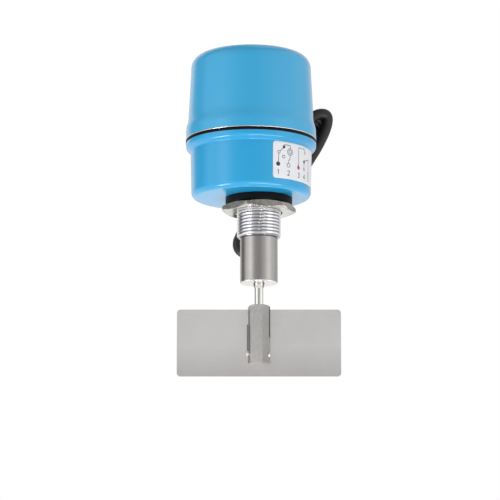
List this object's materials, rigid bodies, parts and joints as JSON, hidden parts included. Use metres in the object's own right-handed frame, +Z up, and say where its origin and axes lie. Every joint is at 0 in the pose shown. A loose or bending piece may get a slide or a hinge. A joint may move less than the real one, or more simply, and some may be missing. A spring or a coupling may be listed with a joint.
{
  "type": "rotary paddle level switch",
  "caption": "Level switch: a geared motor under a round blue cover turns a flat steel paddle on a shaft below a threaded neck with locknut and washer.",
  "frame": {"origin": "on the drive shaft's axis, in the plane of the locknut's lower face, where a tank socket meets it and the free thread begins", "axes": "+Z up the shaft's axis from the paddle to the cover, +X to the right and +Y to the back of the paddle's plane at rest"},
  "size_m": [0.1, 0.1257, 0.2075],
  "materials": {
    "blue_paint": "glossy",
    "black_rubber": "matt",
    "aluminium": "turned",
    "stainless": "brushed",
    "blade_steel": "rolled, slightly warm",
    "zinc_steel": "zinc plated",
    "brass": "turned",
    "black_plastic": "moulded",
    "nylon": "moulded, natural",
    "motor_metal": "satin",
    "cable_black": "satin sheath",
    "core_colours": "coloured sleeves"
  },
  "bodies": {
    "housing": {"housing_cup": "blue_paint", "cover_gasket": "black_rubber", "threaded_neck": "aluminium", "rubber_washer": "black_rubber", "guard_tube": "stainless", "shaft_seal": "black_rubber", "upper_bearing_outer": "stainless", "lower_bearing_outer": "stainless", "base_plate": "zinc_steel", "base_screws": "zinc_steel", "plate_posts": "zinc_steel", "support_plate": "zinc_steel", "support_screws": "zinc_steel", "bridge_posts": "zinc_steel", "cover_bridge": "zinc_steel", "bridge_screws": "zinc_steel", "switch_bracket": "zinc_steel", "bracket_screws": "zinc_steel", "alarm_switch": "black_plastic", "motor_switch": "black_plastic", "switch_screws": "zinc_steel", "spring_anchor": "zinc_steel", "return_spring": "stainless", "cable_grommet": "black_rubber", "lead_cable": "cable_black", "cable_hank": "cable_black", "cable_tie": "black_plastic", "inner_leads": "core_colours", "motor_leads": "core_colours"},
    "paddle_rotor": {"drive_shaft": "stainless", "upper_bearing_inner": "stainless", "lower_bearing_inner": "stainless", "drive_coupling": "brass", "coupling_screws": "zinc_steel", "motor_output_shaft": "stainless", "paddle_hub": "stainless", "paddle_blade": "blade_steel", "weld_tacks": "stainless"},
    "motor_carrier": {"swing_plate": "zinc_steel", "pivot_bush": "brass", "bush_clip": "stainless", "gearbox": "motor_metal", "motor_can": "motor_metal", "motor_screws": "zinc_steel", "stop_pin": "stainless", "spring_pin": "stainless"},
    "alarm_button": {"alarm_plunger": "nylon"},
    "motor_button": {"motor_plunger": "nylon"},
    "cover": {"cover": "blue_paint", "cover_screw": "zinc_steel", "cover_seal": "black_rubber"},
    "locknut": {"locknut": "zinc_steel"}
  },
  "joints": [
    {"name": "paddle_spin", "type": "hinge", "parent": "housing", "child": "paddle_rotor", "pos_m": [0, 0, 0], "axis": [0, 0, 1], "continuous": true},
    {"name": "motor_swing", "type": "hinge", "parent": "housing", "child": "motor_carrier", "pos_m": [0, 0, 0], "axis": [0, 0, 1], "range_deg": [0, 3], "stiffness_Nm_per_rad": 1.2, "springref_deg": -5.73, "deforming": ["return_spring", "motor_leads"]},
    {"name": "alarm_press", "type": "slide", "parent": "housing", "child": "alarm_button", "axis": [0, 1, 0], "range_m": [0, 0.0011]},
    {"name": "motor_press", "type": "slide", "parent": "housing", "child": "motor_button", "axis": [0, 1, 0], "range_m": [0, 0.00141]},
    {"name": "cover_lift", "type": "slide", "parent": "housing", "child": "cover", "axis": [0, 0, 1], "range_m": [0, 0.075]},
    {"name": "nut_run", "type": "slide", "parent": "housing", "child": "locknut", "axis": [0, 0, 1], "range_m": [-0.012, 0]}
  ],
  "couplings": [
    {"joint": "alarm_press", "follows": "motor_swing", "m_per_rad": 0.0191},
    {"joint": "motor_press", "follows": "motor_swing", "m_per_rad": 0.025}
  ]
}
